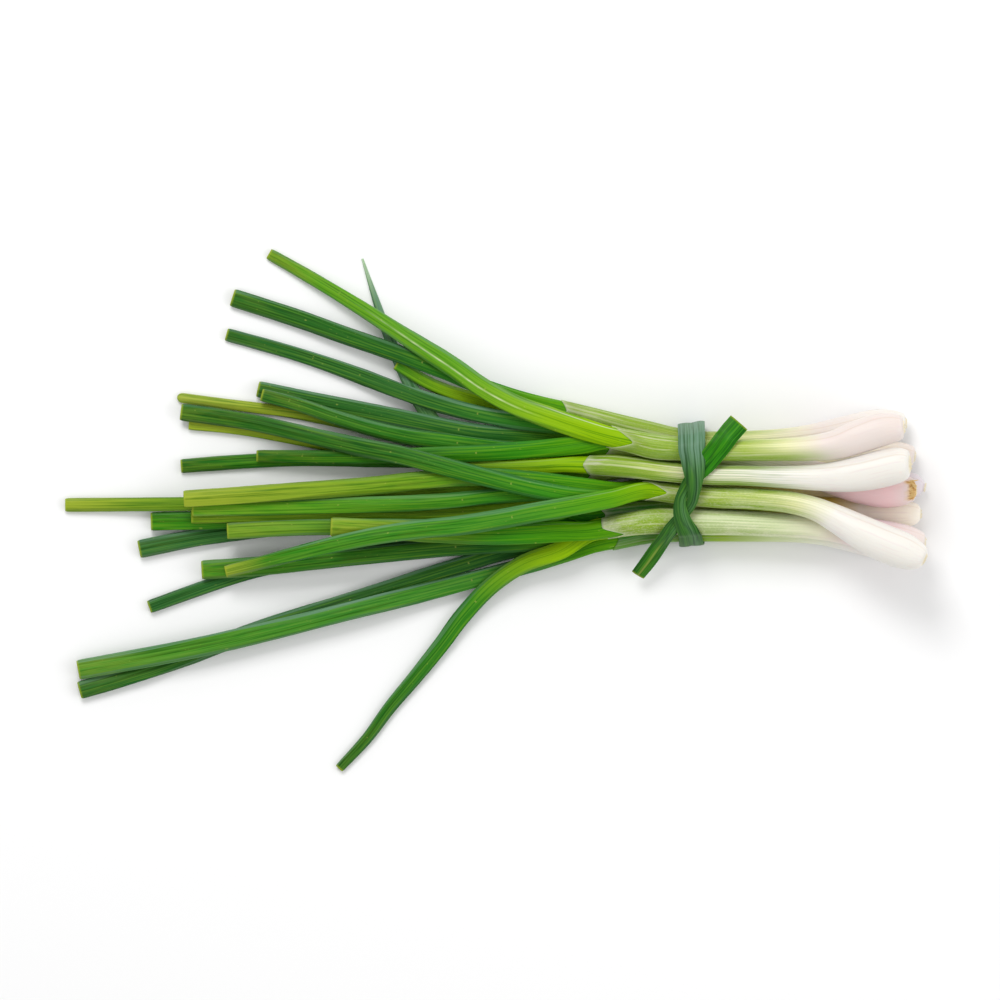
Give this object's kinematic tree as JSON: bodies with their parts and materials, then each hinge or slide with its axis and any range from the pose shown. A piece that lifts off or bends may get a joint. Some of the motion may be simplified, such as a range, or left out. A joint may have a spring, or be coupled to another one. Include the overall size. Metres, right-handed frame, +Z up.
{
  "type": "spring onion bunch",
  "caption": "Bunch of spring onions lying in a heap: slim white bulbs, pale green stems and cut hollow leaves, tied round the stems with a knotted green leaf.",
  "frame": {"origin": "middle of the bunch's length and width, on the surface that it lies on", "axes": "+X along the bunch towards the bulbs, +Y across it, +Z up"},
  "size_m": [0.3452, 0.2088, 0.038],
  "materials": {
    "stem": "satin white bulb shading to a pale green stem",
    "dark_leaf": "satin dark green leaf",
    "mid_leaf": "satin mid green leaf",
    "yellow_leaf": "satin yellow-green leaf",
    "tie": "matt dark bluish green flat leaf"
  },
  "bodies": {
    "root": {"leaf_tie": "tie", "onion_01_stem": "stem", "onion_01_leaf_1": "dark_leaf", "onion_01_leaf_2": "mid_leaf", "onion_02_stem": "stem", "onion_02_leaf_1": "dark_leaf", "onion_02_leaf_2": "dark_leaf", "onion_02_leaf_3": "dark_leaf", "onion_03_stem": "stem", "onion_03_leaf_1": "yellow_leaf", "onion_03_leaf_2": "yellow_leaf", "onion_03_leaf_3": "mid_leaf", "onion_04_stem": "stem", "onion_04_leaf_1": "yellow_leaf", "onion_04_leaf_2": "dark_leaf", "onion_05_stem": "stem", "onion_05_leaf_1": "yellow_leaf", "onion_05_leaf_2": "mid_leaf", "onion_05_leaf_3": "mid_leaf", "onion_06_stem": "stem", "onion_06_leaf_1": "dark_leaf", "onion_06_leaf_2": "mid_leaf", "onion_06_leaf_3": "yellow_leaf", "onion_07_stem": "stem", "onion_07_leaf_1": "dark_leaf", "onion_07_leaf_2": "mid_leaf", "onion_08_stem": "stem", "onion_08_leaf_1": "yellow_leaf", "onion_08_leaf_2": "dark_leaf", "onion_08_leaf_3": "mid_leaf", "onion_09_stem": "stem", "onion_09_leaf_1": "mid_leaf", "onion_09_leaf_2": "yellow_leaf", "onion_10_stem": "stem", "onion_10_leaf_1": "dark_leaf", "onion_10_leaf_2": "mid_leaf", "onion_10_leaf_3": "yellow_leaf"}
  },
  "joints": []
}
